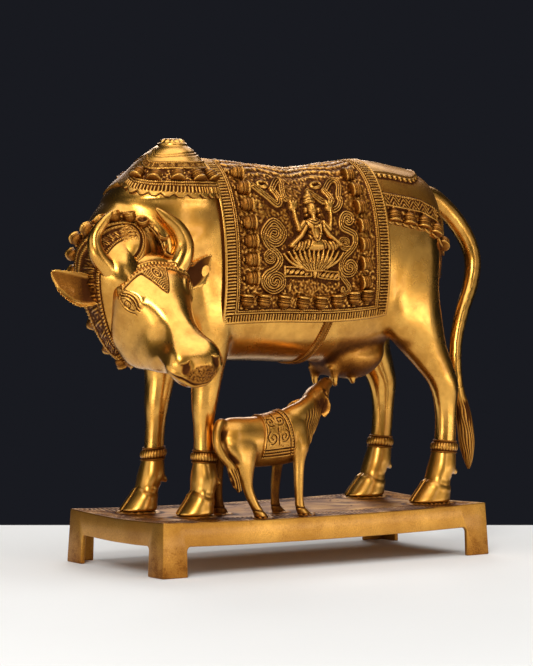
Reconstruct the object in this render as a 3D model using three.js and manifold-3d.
// A cast brass wish-fulfilling cow with her suckling calf, on a four-footed stand.
// Millimetres, +Z up. The cow stands along X with her tail towards +X, and turns her head
// to her left, towards -Y. The origin is the bottom centre of the whole work.
import * as THREE from "three";
import { mergeVertices } from "three/addons/utils/BufferGeometryUtils.js";
import Module from "manifold-3d";

// Stand
const STAND_LENGTH = 330; // along X, at the top edge
const STAND_WIDTH = 152; // along Y, at the top edge
const STAND_HEIGHT = 43;
const STAND_FLARE = 2.3; // the foot line stands out past the top edge by this on each side
const PLATE_THICKNESS = 4;
const SKIRT_WALL = 4;
const SKIRT_DEPTH = 19.6; // from the top face down to the lower edge between the feet
const FOOT_WIDTH = 24;
const FOOT_FILLET = 4;

// Figures. Their forms are laid out at the cow's design height and scaled from it.
const COW_HEIGHT = 314; // from the plate to the top of the hump
const DESIGN_HEIGHT = 314;
const TOUCH_GAP = 0.3; // between pieces that rest on each other

// Saddle cloth and its ornaments, in design millimetres
const CLOTH_FRONT = -91;
const CLOTH_BACK = 77;
const CLOTH_HEM = 121; // degrees down each flank from the spine
const CLOTH_RISE = 2.2;
const BAND_WIDTH = 13;
const BAND_RISE = 3.8;
const POT_RADIUS = 5.4;
const POT_LENGTH = 12;
const POT_SINK = 1; // of a pot's axis under the face it lies on
const BELL_RADIUS = 5.4;
const BELL_LENGTH = 10;
const VESSEL_SIDES = 4;
const FOOT_SHARE = 0.68; // a vessel's foot or crown, as a share of its mouth
const THREAD = 1.6; // how far the wax thread that draws the scrolls stands up
const THREAD_HALF = 2.6; // half its width at the foot

// Anklets and the lugs under the hooves, in design millimetres
const ANKLET_LEVEL = 50;
const ANKLET_HEIGHT = 9;
const ANKLET_RISE = 2.6;
const ANKLET_BEVEL = 1.5;
const LUG_RADIUS = 6;
const LUG_HEIGHT = 2;
const LUG_INSIDE = 3; // how far a lug runs up into its hoof
const CLEFT_WIDTH = 1.6; // between the two toes of a hoof
const CLEFT_REACH = 15; // up the front of the hoof

const BRASS = new THREE.MeshStandardMaterial({ color: 0xb98a3a, roughness: 0.32, metalness: 1 });
const STAND_BRASS = new THREE.MeshStandardMaterial({ color: 0xa87f3c, roughness: 0.45, metalness: 1 });

const wasm = await Module();
wasm.setup();

const X_AXIS = new THREE.Vector3(1, 0, 0);
const Y_AXIS = new THREE.Vector3(0, 1, 0);
const Z_AXIS = new THREE.Vector3(0, 0, 1);
const FORWARD = new THREE.Vector3(-1, 0, 0); // the way the cow faces
const DOWN = new THREE.Vector3(0, 0, -1);
const FLANKS = [1, -1]; // the near flank (-Y) and the far flank
const radians = THREE.MathUtils.degToRad;

// Solids

function solidOf(geometry) {
  const bare = new THREE.BufferGeometry();
  bare.setAttribute("position", geometry.getAttribute("position"));
  if (geometry.index) bare.setIndex(geometry.index);
  const merged = mergeVertices(bare, 1e-4);
  return new wasm.Manifold(
    new wasm.Mesh({
      numProp: 3,
      vertProperties: merged.attributes.position.array,
      triVerts: new Uint32Array(merged.index.array),
    }),
  );
}

// Neighbours are joined in pairs, so that no single join carries the whole figure.
function join(solids) {
  let left = solids;
  while (left.length > 1) {
    const next = [];
    for (let i = 0; i < left.length; i += 2) {
      next.push(i + 1 < left.length ? left[i].add(left[i + 1]) : left[i]);
    }
    left = next;
  }
  return left[0];
}

function geometryOf(solid) {
  const mesh = solid.getMesh();
  const geometry = new THREE.BufferGeometry();
  geometry.setAttribute("position", new THREE.BufferAttribute(mesh.vertProperties, mesh.numProp));
  geometry.setIndex(new THREE.BufferAttribute(mesh.triVerts, 1));
  geometry.computeVertexNormals();
  return geometry;
}

// A closed skin over rings of equally many points. Each end is filled by strips between
// opposite points, which suits round sections and thin sheets alike.
function skinOf(rings) {
  const around = rings[0].length;
  const last = (rings.length - 1) * around;
  const points = rings.flat();
  const faces = [];
  for (let start = 0; start < last; start += around) {
    for (let k = 0; k < around; k++) {
      const a = start + k;
      const b = start + ((k + 1) % around);
      faces.push(a, b, a + around, b, b + around, a + around);
    }
  }
  for (let low = 0, high = around - 1; high - low > 1; low++, high--) {
    const cap = [low, high, low + 1, low + 1, high, high - 1];
    const corners = high - low > 2 ? cap : cap.slice(0, 3);
    faces.push(...corners);
    for (let k = corners.length - 1; k >= 0; k--) faces.push(last + corners[k]);
  }
  let volume = 0;
  for (let i = 0; i < faces.length; i += 3) {
    const [a, b, c] = [points[faces[i]], points[faces[i + 1]], points[faces[i + 2]]];
    volume += a.dot(new THREE.Vector3().crossVectors(b, c));
  }
  if (volume < 0) faces.reverse();
  const geometry = new THREE.BufferGeometry().setFromPoints(points);
  geometry.setIndex(faces);
  return solidOf(geometry);
}

// Forms. A form is a table of section rows with the way its sections stand. Each row is
// [x, y, z, half width, rise, drop], and a station is a row's number or lies between two.

function rowAt(table, station) {
  const i = Math.min(Math.max(Math.floor(station), 0), table.length - 2);
  const t = station - i;
  const before = table[Math.max(i - 1, 0)];
  const after = table[Math.min(i + 2, table.length - 1)];
  const [a, b, c, d] = [before, table[i], table[i + 1], after];
  return b.map((value, j) => {
    const slope = c[j] - a[j];
    const bend = 2 * a[j] - 5 * value + 4 * c[j] - d[j];
    const twist = 3 * value - a[j] - 3 * c[j] + d[j];
    return value + 0.5 * t * (slope + t * (bend + t * twist));
  });
}

// A section's axes. The slant is the share of the path's fall that its tilt follows.
function sectionFrame({ table, up, direction, slant = 1 }, station) {
  const reach = 0.5;
  const centreAt = (where) => new THREE.Vector3(...rowAt(table, where).slice(0, 3));
  const centre = centreAt(station);
  const before = centreAt(Math.max(station - reach, 0));
  const after = centreAt(Math.min(station + reach, table.length - 1));
  const along = direction ? direction.clone() : after.sub(before).multiply(new THREE.Vector3(1, 1, slant));
  along.normalize();
  const side = new THREE.Vector3().crossVectors(along, up).normalize();
  const rise = new THREE.Vector3().crossVectors(side, along).normalize();
  return { centre, along, side, rise };
}

// A point on a form's skin. The angle runs in degrees from the top over its side.
function skinPoint(form, station, angle, height = 0) {
  const { power = 2, lowPower = power, table } = form;
  const { centre, side, rise } = sectionFrame(form, station);
  const [half, high, low] = rowAt(table, station).slice(3);
  const c = Math.cos(radians(angle));
  const s = Math.sin(radians(angle));
  const bend = 2 / (c > 0 ? power : lowPower);
  const across = (half + height) * Math.sign(s) * Math.abs(s) ** bend;
  const upward = ((c > 0 ? high : low) + height) * Math.sign(c) * Math.abs(c) ** bend;
  return centre.addScaledVector(side, across).addScaledVector(rise, upward);
}

// A point over a form's skin, with the directions along, around and out of the skin.
function spotOn(form, station, angle, height) {
  const point = skinPoint(form, station, angle);
  const along = skinPoint(form, station + 0.02, angle).sub(skinPoint(form, station - 0.02, angle));
  const around = skinPoint(form, station, angle + 1).sub(skinPoint(form, station, angle - 1));
  along.normalize();
  around.normalize();
  const normal = new THREE.Vector3().crossVectors(along, around).normalize();
  if (normal.dot(point.clone().sub(sectionFrame(form, station).centre)) < 0) normal.negate();
  return { point: point.addScaledVector(normal, height), along, around, normal };
}

function loft(form) {
  const { table, sides, steps = 1 } = form;
  const rings = [];
  for (let i = 0; i <= (table.length - 1) * steps; i++) {
    rings.push(Array.from({ length: sides }, (_, k) => skinPoint(form, i / steps, (360 * k) / sides)));
  }
  return skinOf(rings);
}

// A sheet that lies on a form over lists of stations and angles, and is sunk into it.
function sheet(form, stations, angles, heightAt, sink = 4) {
  const rings = stations.map((station) => [
    ...angles.map((angle) => spotOn(form, station, angle, heightAt(station, angle)).point),
    ...[...angles].reverse().map((angle) => spotOn(form, station, angle, -sink).point),
  ]);
  return skinOf(rings);
}

// A geometry moved to a place, with its own Y axis along one direction and Z along another.
function placed(geometry, point, yAxis, zAxis) {
  const z = zAxis.clone().normalize();
  const x = new THREE.Vector3().crossVectors(yAxis, z).normalize();
  const y = new THREE.Vector3().crossVectors(z, x);
  const turn = new THREE.Matrix4().makeBasis(x, y, z).setPosition(point);
  return solidOf(geometry.clone().applyMatrix4(turn));
}

// A water pot or a bell over a spot, with its wide mouth one way and a flat side inwards
function vessel({ point, normal }, mouth, radius, length) {
  const axis = mouth.clone().normalize();
  const across = new THREE.Vector3().crossVectors(axis, normal).normalize();
  const out = new THREE.Vector3().crossVectors(across, axis);
  const ends = [[radius * FOOT_SHARE, -length / 2], [radius, length / 2]];
  return skinOf(
    ends.map(([r, y]) =>
      Array.from({ length: VESSEL_SIDES }, (_, k) => {
        const turn = (2 * Math.PI * k) / VESSEL_SIDES;
        const rim = point.clone().addScaledVector(axis, y);
        return rim.addScaledVector(out, r * Math.cos(turn)).addScaledVector(across, r * Math.sin(turn));
      }),
    ),
  );
}

// Evenly spaced values from one to another
const spread = (from, to, count) =>
  Array.from({ length: count }, (_, i) => from + ((to - from) * i) / (count - 1));

const mirrored = (table) => table.map(([x, y, ...rest]) => [x, -y, ...rest]);

// Body

const BODY = {
  table: [
    [-150, 0, 206, 16, 30, 36],
    [-145, 0, 206, 31, 54, 58],
    [-130, 0, 203, 42, 82, 74],
    [-105, 0, 202, 48, 92, 76],
    [-72, 0, 203, 51, 93, 75],
    [-35, 0, 205, 53, 88, 77],
    [5, 0, 206, 54, 85, 80],
    [45, 0, 208, 54, 88, 81],
    [80, 0, 212, 52, 87, 80],
    [112, 0, 216, 49, 79, 68],
    [136, 0, 218, 44, 72, 60],
    [149, 0, 220, 34, 60, 48],
    [155, 0, 222, 20, 40, 30],
  ],
  up: Z_AXIS,
  direction: X_AXIS,
  power: 2.25,
  sides: 16,
};

// The station on the body at which its sections stand at x
function stationAt(x) {
  let [low, high] = [0, BODY.table.length - 1];
  for (let i = 0; i < 30; i++) {
    const middle = (low + high) / 2;
    if (rowAt(BODY.table, middle)[0] < x) low = middle;
    else high = middle;
  }
  return (low + high) / 2;
}

const overBody = (x, angle, height) => spotOn(BODY, stationAt(x), angle, height);

const HUMP = {
  table: [
    [-114, 0, 206, 34, 42, 34],
    [-113, 0, 234, 45.6, 56, 41],
    [-112, 0, 260, 45.5, 60, 43],
    [-112, 0, 264, 47, 61, 44],
    [-112, 0, 275, 42.5, 56, 42],
    [-112, 0, 285, 34, 44, 36],
    [-112, 0, 296, 23, 30, 28],
    [-110, 0, 304, 14, 18, 18],
    [-110, 0, 308, 11, 12, 13],
    [-110, 0, 312, 9.5, 10, 10],
    [-110, 0, 314, 5, 6, 6],
  ],
  up: FORWARD,
  direction: Z_AXIS,
  sides: 14,
};
const HUMP_POT_STATION = 4.6; // on the hump's own form
const HUMP_POT_ANGLES = [26, 46, 66, 86, 105];

// Saddle cloth

const CLOTH_MIDDLE = (CLOTH_FRONT + CLOTH_BACK) / 2;
const FLANK_DROP = 155; // the cloth's measure from the spine to its hem
const DEGREES_PER_MM = CLOTH_HEM / FLANK_DROP;
const EDGE = 0.6; // run of the step from a border band down to the cloth

function saddleCloth() {
  const inner = [CLOTH_FRONT + BAND_WIDTH + EDGE, CLOTH_BACK - BAND_WIDTH - EDGE];
  const hem = CLOTH_HEM - BAND_WIDTH * 0.8 * DEGREES_PER_MM;
  const innerHem = hem - EDGE;
  const xs = [CLOTH_FRONT, inner[0] - EDGE, ...spread(inner[0], inner[1], 4), inner[1] + EDGE, CLOTH_BACK];
  const angles = [-CLOTH_HEM, -hem, ...spread(-innerHem, innerHem, 11), hem, CLOTH_HEM];
  const last = xs.length - 1;
  const stations = xs.map(stationAt);
  const heightAt = (station, angle) => {
    const i = stations.indexOf(station);
    const border = i < 2 || i > last - 2 || Math.abs(angle) >= hem;
    return border ? BAND_RISE : CLOTH_RISE;
  };
  return sheet(BODY, stations, angles, heightAt);
}

const COLUMN_ANGLES = [20, 33, 46, 59, 71, 83, 95];
const ROW_ANGLE = 107;
const ROW_POTS = 8;
const COLUMN_INSET = BAND_WIDTH + 9;

const potOn = (spot, mouth) => vessel(spot, mouth, POT_RADIUS, POT_LENGTH);

// Pots lie in columns beside the front and rear bands, mouths inwards, and stand in a row
// over the hem.
function clothPots(flank) {
  const pots = [];
  const [front, back] = [CLOTH_FRONT + COLUMN_INSET, CLOTH_BACK - COLUMN_INSET];
  for (const angle of COLUMN_ANGLES) {
    for (const [x, inward] of [[front, 1], [back, -1]]) {
      const spot = overBody(x, flank * angle, CLOTH_RISE - POT_SINK);
      pots.push(potOn(spot, spot.along.clone().multiplyScalar(inward)));
    }
  }
  for (const x of spread(front, back, ROW_POTS)) {
    const spot = overBody(x, flank * ROW_ANGLE, CLOTH_RISE - POT_SINK);
    pots.push(potOn(spot, spot.around.clone().multiplyScalar(-flank)));
  }
  return pots;
}

// A thread drawn on the cloth through points of [x, angle], with a ridge along its middle
function thread(points) {
  const spots = points.map(([x, angle]) => overBody(x, angle, CLOTH_RISE));
  return skinOf(
    spots.map(({ point, normal }, i) => {
      const before = spots[Math.max(i - 1, 0)].point;
      const after = spots[Math.min(i + 1, spots.length - 1)].point;
      const side = new THREE.Vector3().crossVectors(after.clone().sub(before), normal);
      side.setLength(THREAD_HALF);
      const crest = point.clone().addScaledVector(normal, THREAD);
      const foot = point.clone().addScaledVector(normal, -THREAD);
      return [crest, foot.clone().sub(side), foot.clone().add(side)];
    }),
  );
}

const SCROLL_OFFSET = 37; // along the body, from the cloth's middle
const SCROLL_ANGLE = 74; // of its middle, down the flank
const SCROLL_HALF = 17; // from its middle to the middle of a spiral
const CURL_RADIUS = 11;
const CURL_TIGHTENING = 0.7; // share of its radius that a spiral loses in one turn

// An S of two spirals, [dx, upward mm] about its middle, drawn beside the goddess
function clothScroll(flank, side) {
  const points = [];
  for (const half of [1, -1]) {
    const turn = spread(0, 1, 5).map((t) => {
      const r = CURL_RADIUS * (1 - CURL_TIGHTENING * t);
      const angle = -Math.PI / 2 + t * 2 * Math.PI;
      return [half * side * r * Math.cos(angle), half * (SCROLL_HALF + r * Math.sin(angle))];
    });
    points.push(...(half > 0 ? turn.reverse() : turn));
  }
  const x = CLOTH_MIDDLE + side * SCROLL_OFFSET;
  return thread(points.map(([dx, dz]) => [x + dx, flank * (SCROLL_ANGLE - dz * DEGREES_PER_MM)]));
}

// The goddess seated on her lotus, of domed ovals. Each is [dx from her middle, angle down
// the flank, half height, half width, rise, lean].
const GODDESS = [
  [0, 42, 7, 4.6, 5, 0], // crown
  [0, 50, 6, 5.2, 7, 0], // head
  [0, 62, 9.5, 8, 5.4, 0], // body
  [0, 75, 5, 18, 5, 0], // folded legs
  [-15, 53, 9.5, 3.4, 4, -10], // raised arms, each with a flower
  [15, 53, 9.5, 3.4, 4, 10],
  [-15, 67, 9, 3, 4, 46], // lowered arms
  [15, 67, 9, 3, 4, -46],
  [-15, 83, 9, 6, 4, -48], // petals of the lotus
  [0, 83, 8, 6, 4.6, 0],
  [15, 83, 9, 6, 4, 48],
  [0, 91, 3.6, 25, 3.4, 0], // pedestal
];

const GODDESS_OFFSET = 3; // along the body, from the cloth's middle
const GODDESS_SINK = 0.6; // of each dome's middle under the cloth's face

function clothGoddess(flank) {
  return GODDESS.map(([dx, angle, long, across, rise, lean]) => {
    const x = CLOTH_MIDDLE + GODDESS_OFFSET + dx;
    const spot = overBody(x, flank * angle, CLOTH_RISE - GODDESS_SINK);
    const upward = spot.around.clone().multiplyScalar(-flank);
    const direction = upward.applyAxisAngle(spot.normal, radians(lean));
    const dome = new THREE.SphereGeometry(1, 4, 3).scale(across, long, rise);
    return placed(dome, spot.point, direction, spot.normal);
  });
}

// Cover behind the cloth, with pots along its lower edge

const RUMP_BACK = 147;
const RUMP_HEM = [74, 84]; // degrees at the cloth and at the tail
const RUMP_RISE = 2;
const RUMP_SINK = 4; // of its inner face in the body
const RUMP_POTS = [CLOTH_BACK + 9, RUMP_BACK - 2]; // where the first and last one stand
const RUMP_POT_LIFT = 7; // degrees above the hem

function rumpCover() {
  const xs = spread(CLOTH_BACK - 2, RUMP_BACK, 4);
  const hemAt = (x) => THREE.MathUtils.mapLinear(x, CLOTH_BACK, RUMP_BACK, ...RUMP_HEM);
  const share = spread(-1, 1, 9);
  const rings = xs.map((x) => [
    ...share.map((s) => overBody(x, hemAt(x) * s, RUMP_RISE).point),
    ...[...share].reverse().map((s) => overBody(x, hemAt(x) * s, -RUMP_SINK).point),
  ]);
  const pots = FLANKS.flatMap((flank) =>
    spread(...RUMP_POTS, 5).map((x) => {
      const spot = overBody(x, flank * (hemAt(x) - RUMP_POT_LIFT), RUMP_RISE - POT_SINK);
      return potOn(spot, spot.around.clone().multiplyScalar(-flank));
    }),
  );
  return [skinOf(rings), ...pots];
}

function humpPots() {
  return FLANKS.flatMap((flank) =>
    HUMP_POT_ANGLES.map((angle) => {
      const spot = spotOn(HUMP, HUMP_POT_STATION, flank * angle, -POT_SINK);
      return potOn(spot, spot.along);
    }),
  );
}

const GIRTH = [CLOTH_MIDDLE + 13, CLOTH_MIDDLE + 20]; // its two edges along the body
const GIRTH_RISE = 1.2;
const GIRTH_START = CLOTH_HEM - 3; // degrees, under the cloth's hem

// Girth strap from hem to hem under the belly
function girth() {
  const angles = spread(GIRTH_START, 360 - GIRTH_START, 7);
  return sheet(BODY, GIRTH.map(stationAt), angles, () => GIRTH_RISE);
}

// Neck, bells and collar

const NECK = {
  table: [
    [-112, 0, 222, 40, 74, 76],
    [-138, -1, 221, 44, 62, 84],
    [-157, -7, 215, 42, 54, 84],
    [-170, -16, 209, 36, 45, 78],
    [-173, -27, 203, 33, 34, 64],
    [-169, -38, 197, 28, 24, 44],
    [-165, -46, 192, 20, 12, 24],
  ],
  up: Z_AXIS,
  slant: 0.35,
  power: 2.1,
  lowPower: 1.35,
  sides: 16,
};
const BELL_STATION = 3;
const NECK_BELLS = 20;
const BELL_RISE = 2; // of a bell's middle over the neck
const BELL_HANG = 0.5; // how much its mouth is drawn down

function neckBells() {
  return spread(0, 360, NECK_BELLS + 1).slice(1).map((angle) => {
    const { point, normal, along } = spotOn(NECK, BELL_STATION, angle, BELL_RISE);
    const hang = normal.clone().addScaledVector(DOWN, BELL_HANG);
    return vessel({ point, normal: along }, hang, BELL_RADIUS, BELL_LENGTH);
  });
}

const NAPE = new THREE.Vector3(-178, -32, 226);
const NAPE_OUTWARD = new THREE.Vector3(-0.62, -0.62, 0.48);
const NAPE_SIZE = [17, 19, 8]; // half width, half height and rise

// A domed rosette on the nape, between the horns
function napeRosette() {
  return placed(new THREE.SphereGeometry(1, 8, 4).scale(...NAPE_SIZE), NAPE, Z_AXIS, NAPE_OUTWARD);
}

// Head. It is laid out with +X from the poll to the muzzle, +Y to the cow's left and +Z to
// the brow, then turned to look back at the calf.

const HEAD_FORWARD = new THREE.Vector3(0.093, -0.707, -0.701);
const HEAD_LEFT = new THREE.Vector3(0.984, -0.041, 0.172);
const POLL = new THREE.Vector3(-160.5, -35, 199);

// Each row is [x, top, roof half width, roof level, cheek half width, cheek level,
// jaw half width, jaw level, bottom].
const SKULL = [
  [-13, 5, 11, 2, 18, -8, 11, -20, -24],
  [-5, 14, 20, 9, 28, -6, 18, -24, -29],
  [8, 19.5, 25, 14, 34, 1, 25, -29, -36],
  [22, 21, 23, 16.5, 33.5, 5, 29, -42, -51],
  [34, 20, 17.5, 15, 28.5, 0, 27.5, -46, -56],
  [46, 17, 12, 12, 22.5, -10, 25, -47, -55],
  [57, 14, 9.5, 9.5, 20, -14, 22, -42, -48],
  [67, 12.5, 10.5, 8.5, 19.5, -13, 19.5, -34, -38],
  [77, 12.5, 14.5, 9, 21, -9, 17, -26, -29.5],
  [87, 13, 18, 10.5, 24.5, -5, 16, -21, -24],
  [96, 12, 18.5, 9, 25, -4.5, 16, -18.5, -22],
  [103.5, 8.5, 15.5, 5.5, 21, -5.5, 14.5, -17, -20],
  [109, 3, 10, 0, 14, -7, 10.5, -15, -18],
  [112, -3, 5, -5, 7, -8, 5.5, -12, -14],
];
const SKULL_SIDES = 16;
const NEAR_HORN = [
  [2, -25, 6, 9, 9, 9],
  [-5, -33.5, 15, 8, 8, 8],
  [-15, -41, 24, 6.8, 6.8, 6.8],
  [-26, -39, 32, 5.4, 5.4, 5.4],
  [-33, -29, 40, 3.8, 3.8, 3.8],
  [-37, -21, 45.5, 1.4, 1.4, 1.4],
];
const FAR_HORN = [
  [5, 25, 6, 9, 9, 9],
  [-1, 33.5, 15, 8, 8, 8],
  [-8, 37, 24, 6.8, 6.8, 6.8],
  [-17, 33, 33.5, 5.4, 5.4, 5.4],
  [-25.5, 24, 40.5, 3.8, 3.8, 3.8],
  [-32, 17, 45.5, 1.4, 1.4, 1.4],
];
// An ear's rise is below its middle, so that the section is a crescent with a hollow face.
const NEAR_EAR = [
  [6, -27, -3, 6, 4, 5],
  [2, -40, -3, 11, -1, 5],
  [-1, -53, -2, 14.6, -2, 6],
  [-9, -65, 1.5, 11, -1.4, 4.4],
  [-21, -75, 5.5, 1.6, 0.8, 1.6],
];
const FAR_EAR = [
  [10, 26, 0, 6, 4, 5],
  [15, 36, 4, 11, -1, 5],
  [16, 45, 8, 13, -2, 6],
  [10, 54, 12, 9, -1.4, 4.4],
  [3, 60, 16, 1.6, 0.8, 1.6],
];
const EYE = [32, 25, 9.5];
const EYE_SIZE = [11, 4, 5.5];
const EYE_TURN = -0.4; // radians by which its front end turns inwards
const BAND_ON_HEAD = [1.5, 8]; // where the strap under the horns starts and ends
const BAND_ON_HEAD_RISE = 2;
const MOUTH = [108.5, -12.5]; // the middle of the round groove between the lips
const MOUTH_RADIUS = 1;
const MOUTH_WIDTH = 60;

// A skull section, as a smooth closed curve through its top, roofs, cheeks, jaws and bottom
function skullRing([x, top, roofY, roofZ, cheekY, cheekZ, jawY, jawZ, bottom], growth = 0) {
  const left = [[roofY, roofZ], [cheekY, cheekZ], [jawY, jawZ]];
  const right = left.map(([y, z]) => [-y, z]).reverse();
  const outline = [[0, top], ...left, [0, bottom], ...right];
  const corners = outline.map(([y, z]) => {
    const point = new THREE.Vector2(y, z + 10);
    point.setLength(point.length() + growth);
    return new THREE.Vector3(x, point.x, point.y - 10);
  });
  const curve = new THREE.CatmullRomCurve3(corners, true, "catmullrom", 0.5);
  return curve.getPoints(SKULL_SIDES).slice(0, SKULL_SIDES);
}

function ear(table, hand) {
  const opening = new THREE.Vector3(0.6, 0.43 * hand, 0.67).normalize();
  return loft({ table, up: opening, sides: 8 });
}

// The leaf that hangs on the brow, with its tip towards the muzzle
const LEAF_LENGTH = 30;
const LEAF_HALF = 11;
const LEAF_TOP = 21.8;
const LEAF_DEPTH = 7; // with the part of it inside the skull

function browLeaf() {
  const root = BAND_ON_HEAD[0] + 3;
  const shape = new THREE.Shape();
  shape.moveTo(root, -LEAF_HALF);
  shape.quadraticCurveTo(root + LEAF_LENGTH / 2, -LEAF_HALF, root + LEAF_LENGTH, 0);
  shape.quadraticCurveTo(root + LEAF_LENGTH / 2, LEAF_HALF, root, LEAF_HALF);
  const leaf = new THREE.ExtrudeGeometry(shape, { depth: LEAF_DEPTH, bevelEnabled: false, curveSegments: 2 });
  return solidOf(leaf.translate(0, 0, LEAF_TOP - LEAF_DEPTH));
}

function headStrap() {
  const [start, end] = BAND_ON_HEAD;
  const row = rowAt(SKULL, 1.7);
  const rise = BAND_ON_HEAD_RISE;
  const edges = [[start, -rise], [start + 1, rise], [end - 1, rise], [end, -rise]];
  return skinOf(edges.map(([x, growth]) => skullRing([x, ...row.slice(1)], growth)));
}

function head() {
  const parts = [skinOf(SKULL.map((row) => skullRing(row))), browLeaf(), headStrap()];
  for (const [horn, earTable, hand] of [[NEAR_HORN, NEAR_EAR, -1], [FAR_HORN, FAR_EAR, 1]]) {
    parts.push(loft({ table: horn, up: X_AXIS, sides: 7 }));
    parts.push(ear(earTable, hand));
    const [x, y, z] = EYE;
    const eye = new THREE.SphereGeometry(1, 6, 4).scale(...EYE_SIZE).rotateZ(EYE_TURN * hand);
    parts.push(solidOf(eye.translate(x, y * hand, z)));
  }
  const left = HEAD_LEFT.clone().normalize();
  const forward = HEAD_FORWARD.clone().addScaledVector(left, -HEAD_FORWARD.dot(left)).normalize();
  const brow = new THREE.Vector3().crossVectors(forward, left);
  const turn = new THREE.Matrix4().makeBasis(forward, left, brow).setPosition(POLL);
  const mouth = new THREE.CylinderGeometry(MOUTH_RADIUS, MOUTH_RADIUS, MOUTH_WIDTH, 6);
  mouth.translate(MOUTH[0], 0, MOUTH[1]);
  return join(parts).subtract(solidOf(mouth)).transform(turn.elements);
}

// Legs, with the way forward as the rise of each section

const NEAR_FORE = [
  [-100, -29, 250, 10, 20, 20],
  [-98, -29, 215, 18, 34, 34],
  [-96, -29, 175, 20, 30, 31],
  [-95, -30, 140, 16, 19, 20],
  [-95.5, -30, 115, 12.5, 13, 14],
  [-97, -30, 92, 10.5, 11, 10.5],
  [-97.5, -30, 74, 8.6, 9, 8.4],
  [-97.5, -30, 50, 8.8, 9, 8.8],
  [-98, -30, 32, 12, 10.5, 12],
  [-99, -30, 21, 11, 10, 10],
];
const FORE_HOOF = [
  [-100, -30, 20, 11.5, 10.5, 10],
  [-103, -30, 12, 13.5, 13.5, 12.5],
  [-105, -30, 3.5, 15, 18, 14.5],
  [-105, -30, LUG_HEIGHT, 14.5, 17.5, 14],
];
const NEAR_HIND = [
  [118, -30, 262, 10, 26, 20],
  [116, -32, 225, 20, 44, 28],
  [114, -35, 190, 21, 44, 26],
  [115, -38, 160, 18, 37, 28],
  [124, -40, 138, 14, 26, 23],
  [136, -41, 120, 12, 19, 18],
  [145, -42, 104, 11, 14, 13.5],
  [147, -42, 86, 9.3, 10.5, 10.5],
  [147, -42, 66, 9, 9.5, 9.5],
  [145.5, -42, 50, 9.5, 10, 10],
  [142, -42, 32, 12.3, 12, 13],
  [138, -42, 21, 11.5, 11.5, 11],
];
const HIND_HOOF = [
  [137, -42, 20, 12, 13, 12],
  [134, -42, 12, 14, 17, 15],
  [131, -42, 3.5, 15.5, 21, 17],
  [131, -42, LUG_HEIGHT, 15, 20.5, 16.5],
];
const FAR_FORE_STRIDE = -14; // how far the far legs stand from the near ones
const FAR_HIND_STRIDE = -10;
const FAR_FORE_HOOF_STRIDE = -19;
const ELBOW = 180; // the level at which a foreleg's stride starts
const STIFLE = 150; // the same of a hind leg

const legForm = (table) => ({ table, up: FORWARD, direction: DOWN, sides: 8, power: 2.1 });

// A leg's table moved along the body, less and less towards a level
function strode(table, dx, level) {
  return table.map(([x, y, z, ...sizes]) => {
    const share = THREE.MathUtils.clamp((level - z) / level, 0, 1);
    return [x + dx * Math.sqrt(share), y, z, ...sizes];
  });
}

// A leg with an anklet, down to its cloven hoof, which stands on a lug
function leg(limb, foot) {
  const reach = ANKLET_HEIGHT / 2;
  const flat = reach - ANKLET_BEVEL;
  const band = [[reach, 0], [flat, ANKLET_RISE], [-flat, ANKLET_RISE], [-reach, 0]];
  const banded = limb.flatMap((row) => {
    const [x, y, z, ...sizes] = row;
    if (z !== ANKLET_LEVEL) return [row];
    return band.map(([dz, growth]) => [x, y, z + dz, ...sizes.map((size) => size + growth)]);
  });
  const [x, y, , , front] = foot.at(-2);
  const cleft = new THREE.BoxGeometry(front, CLEFT_WIDTH, CLEFT_REACH * 2).translate(x - front, y, 0);
  const lugLength = LUG_HEIGHT + LUG_INSIDE;
  const lug = new THREE.CylinderGeometry(LUG_RADIUS, LUG_RADIUS, lugLength, 6);
  lug.rotateX(Math.PI / 2).translate(x, y, lugLength / 2);
  return loft(legForm([...banded, ...foot])).subtract(solidOf(cleft)).add(solidOf(lug));
}

const DEWCLAW_RADIUS = 3.8;
const DEWCLAW_LENGTH = 11;
const DEWCLAW_SPLAY = 5.4; // from the leg's middle
const DEWCLAW_SWING = -0.5; // radians, backwards
const DEWCLAW_SINK = 1.5;
const DEWCLAW_DROP = 6; // under the fetlock's row

// Two dewclaws behind the fetlock
function dewclaws(table) {
  const [x, y, z, , , back] = table.at(-2);
  return [-1, 1].map((hand) => {
    const claw = new THREE.ConeGeometry(DEWCLAW_RADIUS, DEWCLAW_LENGTH, 4);
    claw.rotateX(-Math.PI / 2).rotateY(DEWCLAW_SWING);
    claw.translate(x + back - DEWCLAW_SINK, y + hand * DEWCLAW_SPLAY, z - DEWCLAW_DROP);
    return solidOf(claw);
  });
}

function legs() {
  const farFore = mirrored(strode(NEAR_FORE, FAR_FORE_STRIDE, ELBOW));
  const farForeHoof = mirrored(strode(FORE_HOOF, FAR_FORE_HOOF_STRIDE, ELBOW));
  const farHind = mirrored(strode(NEAR_HIND, FAR_HIND_STRIDE, STIFLE));
  const farHindHoof = mirrored(strode(HIND_HOOF, FAR_HIND_STRIDE, STIFLE));
  const near = [[NEAR_FORE, FORE_HOOF], [NEAR_HIND, HIND_HOOF]];
  const far = [[farFore, farForeHoof], [farHind, farHindHoof]];
  return [...near, ...far].flatMap(([limb, foot]) => [leg(limb, foot), ...dewclaws(limb)]);
}

// Udder, and the tail that hangs against the near hock

const UDDER = {
  table: [
    [36, 0, 138, 14, 10, 10],
    [46, 0, 132, 25, 18, 17],
    [60, 0, 130, 30, 20, 19],
    [78, 0, 130, 30, 20, 20],
    [92, 0, 134, 25, 16, 16],
    [100, 0, 138, 12, 8, 8],
  ],
  up: Z_AXIS,
  direction: X_AXIS,
  sides: 10,
};
const TEATS = [[45, -15, 103], [45, 15, 103], [64, -15, 105], [64, 15, 105]]; // [x, y, tip level]
const TEAT_RADII = [4.9, 2]; // at the root and the tip
const TEAT_TOP = 118;

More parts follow.
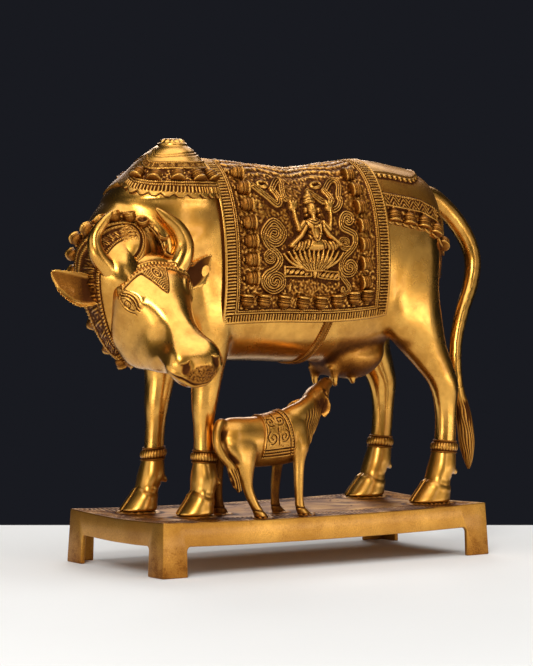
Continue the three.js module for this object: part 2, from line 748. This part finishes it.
function udder() {
  const teats = TEATS.map(([x, y, tip]) => {
    const length = TEAT_TOP - tip;
    const teat = new THREE.CylinderGeometry(...TEAT_RADII, length, 6);
    return solidOf(teat.rotateX(Math.PI / 2).translate(x, y, tip + length / 2));
  });
  return [loft(UDDER), ...teats];
}

const TAIL = [
  [140, 0, 272, 8, 8, 8],
  [158, 0, 271, 8.4, 8.4, 8.4],
  [173, 0, 263.5, 7.8, 7.8, 7.8],
  [187, -3, 250, 7.2, 7.2, 7.2],
  [198, -7, 232, 6.6, 6.6, 6.6],
  [201.5, -11, 213, 6.2, 6.2, 6.2],
  [195.5, -15, 191.5, 5.8, 5.8, 5.8],
  [183, -20, 169.5, 5.2, 5.2, 5.2],
  [173.5, -24, 147, 4.7, 4.7, 4.7],
  [168.5, -28, 125, 4.4, 4.4, 4.4],
  [169, -31, 99, 4.4, 4.4, 4.4],
  [172, -33, 84, 5.4, 5.4, 5.4],
  [175, -33.5, 70, 7.2, 7.2, 7.2],
  [177, -34, 52, 7, 7, 7],
  [178.5, -34, 38, 4.2, 4.2, 4.2],
  [179, -34, 28, 1, 1, 1],
];

// The whole cow is one casting.
function cow() {
  return join([
    loft(BODY),
    loft(HUMP),
    loft(NECK),
    napeRosette(),
    head(),
    ...legs(),
    ...udder(),
    loft({ table: TAIL, up: Y_AXIS, sides: 7 }),
    saddleCloth(),
    ...rumpCover(),
    girth(),
    ...humpPots(),
    ...neckBells(),
    ...FLANKS.flatMap(clothPots),
    ...FLANKS.flatMap((flank) => [clothScroll(flank, -1), clothScroll(flank, 1)]),
    ...FLANKS.flatMap(clothGoddess),
  ]);
}

// Calf, in the same frame and scale as the cow

const CALF_MIDDLE = -48;
const CALF_BODY = {
  table: [
    [-99, -50, 66, 5, 7, 8],
    [-95, -50, 66, 11, 13, 15],
    [-84, -50, 64, 16, 19, 21],
    [-66, -49, 63, 17, 20, 22],
    [-48, -48, 64, 17, 20, 23],
    [-30, -48, 66, 16, 22, 24],
    [-17, -48, 67, 14, 20, 22],
    [-7, -48, 69, 9, 12, 15],
    [-3, -48, 70, 4, 6, 8],
  ],
  up: Z_AXIS,
  direction: X_AXIS,
  sides: 10,
};
const CALF_CLOTH = [3.3, 5.1]; // stations on its body
const CALF_CLOTH_HEM = 112;
const CALF_CLOTH_RISE = 1.2;
const CALF_NECK = {
  table: [
    [-30, -48, 70, 12, 17, 20],
    [-18, -47, 77, 12, 15, 22],
    [-6, -44, 84, 10.5, 12, 20],
    [5, -39, 91, 9, 9.5, 14],
    [12, -36, 95, 7, 7, 9],
  ],
  up: Z_AXIS,
  sides: 8,
};
const CALF_HEAD = {
  table: [
    [0, -41, 90, 6, 6, 7],
    [4, -39, 91, 10, 9, 11],
    [12, -35.5, 96, 10.5, 9.5, 12],
    [20, -30, 101, 8.5, 8, 10],
    [27, -25.5, 105, 6.2, 6, 6.4],
    [32.5, -22, 108, 6, 5.4, 5.6],
    [35, -20.5, 109.5, 4, 3.4, 3.6],
  ],
  up: Z_AXIS,
  sides: 8,
};
const CALF_FORE = [
  [-19, -60, 76, 5, 10, 9],
  [-19, -60.5, 60, 6.5, 9, 9],
  [-20.5, -61, 44, 5.4, 5.6, 5.6],
  [-21, -61.5, 26, 4.4, 4.6, 4.6],
  [-20.5, -61.5, 14, 3.8, 4, 4],
  [-20, -61.5, 6, 4.5, 4.7, 4.5],
  [-15, -61.5, 0, 5.4, 7, 6.4],
];
const CALF_HIND = [
  [-82, -60, 78, 5, 10, 10],
  [-80, -61, 64, 8, 12, 14],
  [-80, -62.5, 50, 7, 9, 11],
  [-79, -64, 38, 5, 6.4, 6.6],
  [-77, -64.5, 26, 4.4, 5, 4.8],
  [-72, -65, 14, 4.2, 4.6, 4.6],
  [-67, -65, 6, 5, 5, 4.8],
  [-63, -65, 0, 5.6, 7, 6],
];
// The far hind leg stands close behind the cow's near foreleg.
const CALF_FAR_HIND = [
  [-80, -38, 76, 5, 10, 8],
  [-80, -33, 62, 6.5, 9, 5.6],
  [-80.5, -28.5, 50, 5.5, 6.5, 4.4],
  [-81, -25.5, 38, 4.4, 5, 4.4],
  [-80.5, -24, 24, 4.1, 4.5, 4.3],
  [-79.5, -23, 11, 4.4, 4.8, 4.6],
  [-76, -22, 0, 5.4, 8, 6],
];
const CALF_TAIL = [
  [-92, -52, 78, 4, 4, 4],
  [-98, -55, 78.5, 4, 4, 4],
  [-103.5, -59, 71, 3.6, 3.6, 3.6],
  [-105, -63, 62, 3.3, 3.3, 3.3],
  [-101.5, -66, 52, 3.2, 3.2, 3.2],
  [-95, -68, 43.5, 3.6, 3.6, 3.6],
  [-92.5, -69.5, 33, 4, 4, 4],
  [-88, -70, 23, 1.6, 1.6, 1.6],
];
const CALF_FAR_EAR = [
  [5, -34, 97, 3, 2.4, 2.4],
  [2, -27, 98, 4, 2.2, 2.2],
  [-2, -25, 96, 5, 2.2, 2.2],
  [-9, -26, 91, 4, 2, 2],
  [-14, -27, 87, 1.2, 1, 1],
];
const CALF_NEAR_EAR = [
  [14, -37, 96, 3, 2.4, 2.4],
  [18, -43.5, 93.5, 4, 2.2, 2.2],
  [22, -46, 88, 5, 2.2, 2.2],
  [26, -47, 81, 4.4, 2, 2],
  [27, -47, 75, 1.2, 1, 1],
];
const CALF_FAR_FORE_STRIDE = -8;
const CALF_KNEE = 60; // the level at which a leg's stride starts

const acrossCalf = (table) => table.map(([x, y, ...rest]) => [x, 2 * CALF_MIDDLE - y, ...rest]);

function calf() {
  const limb = (table) => loft({ table, up: X_AXIS, direction: DOWN, sides: 6 });
  const cloth = sheet(
    CALF_BODY,
    spread(...CALF_CLOTH, 3),
    spread(-CALF_CLOTH_HEM, CALF_CLOTH_HEM, 9),
    () => CALF_CLOTH_RISE,
  );
  return join([
    loft(CALF_BODY),
    loft(CALF_NECK),
    loft(CALF_HEAD),
    cloth,
    loft({ table: CALF_NEAR_EAR, up: Y_AXIS, sides: 6 }),
    loft({ table: CALF_FAR_EAR, up: Y_AXIS, sides: 6 }),
    limb(CALF_FORE),
    limb(acrossCalf(strode(CALF_FORE, CALF_FAR_FORE_STRIDE, CALF_KNEE))),
    limb(CALF_HIND),
    limb(CALF_FAR_HIND),
    loft({ table: CALF_TAIL, up: Y_AXIS, sides: 6 }),
  ]);
}

// The stand: a plate with a skirt that stands on a foot at each corner

const flareAt = (z) => (STAND_FLARE * (STAND_HEIGHT - z)) / STAND_HEIGHT;

function taperedBlock(length, width, low, high) {
  const rings = [low, high].map((z) => {
    const [x, y] = [length / 2 + flareAt(z), width / 2 + flareAt(z)];
    return [[-x, -y], [x, -y], [x, y], [-x, y]].map(([px, py]) => new THREE.Vector3(px, py, z));
  });
  return skinOf(rings);
}

// The opening between two feet, with rounded upper corners, right through the stand
function archCutter(span, through) {
  const half = span / 2;
  const top = STAND_HEIGHT - SKIRT_DEPTH;
  const shape = new THREE.Shape();
  shape.moveTo(-half, -10);
  shape.lineTo(half, -10);
  shape.lineTo(half, top - FOOT_FILLET);
  shape.absarc(half - FOOT_FILLET, top - FOOT_FILLET, FOOT_FILLET, 0, Math.PI / 2);
  shape.absarc(-half + FOOT_FILLET, top - FOOT_FILLET, FOOT_FILLET, Math.PI / 2, Math.PI);
  const cutter = new THREE.ExtrudeGeometry(shape, { depth: through, bevelEnabled: false, curveSegments: 3 });
  return cutter.translate(0, 0, -through / 2).rotateX(Math.PI / 2);
}

function stand() {
  const outer = taperedBlock(STAND_LENGTH, STAND_WIDTH, 0, STAND_HEIGHT);
  const innerLength = STAND_LENGTH - 2 * SKIRT_WALL;
  const innerWidth = STAND_WIDTH - 2 * SKIRT_WALL;
  const hollow = taperedBlock(innerLength, innerWidth, -10, STAND_HEIGHT - PLATE_THICKNESS);
  const betweenFeet = (size) => size + 2 * STAND_FLARE - 2 * FOOT_WIDTH;
  const long = archCutter(betweenFeet(STAND_LENGTH), STAND_WIDTH * 2);
  const short = archCutter(betweenFeet(STAND_WIDTH), STAND_LENGTH * 2).rotateZ(Math.PI / 2);
  return outer.subtract(hollow).subtract(solidOf(long)).subtract(solidOf(short));
}

function piece(name, solid, material, z, scale = 1) {
  const mesh = new THREE.Mesh(geometryOf(solid).scale(scale, scale, scale), material);
  mesh.name = name;
  mesh.position.z = z;
  return mesh;
}

const scale = COW_HEIGHT / DESIGN_HEIGHT;
const group = new THREE.Group();
group.add(
  piece("stand", stand(), STAND_BRASS, 0),
  piece("cow", cow(), BRASS, STAND_HEIGHT + TOUCH_GAP, scale),
  piece("calf", calf(), BRASS, STAND_HEIGHT + TOUCH_GAP, scale),
);

// The frame's origin is the bottom centre of the whole work.
const bounds = new THREE.Box3().setFromObject(group, true);
const middle = bounds.getCenter(new THREE.Vector3());
group.position.set(-middle.x, -middle.y, -bounds.min.z);

export default group;
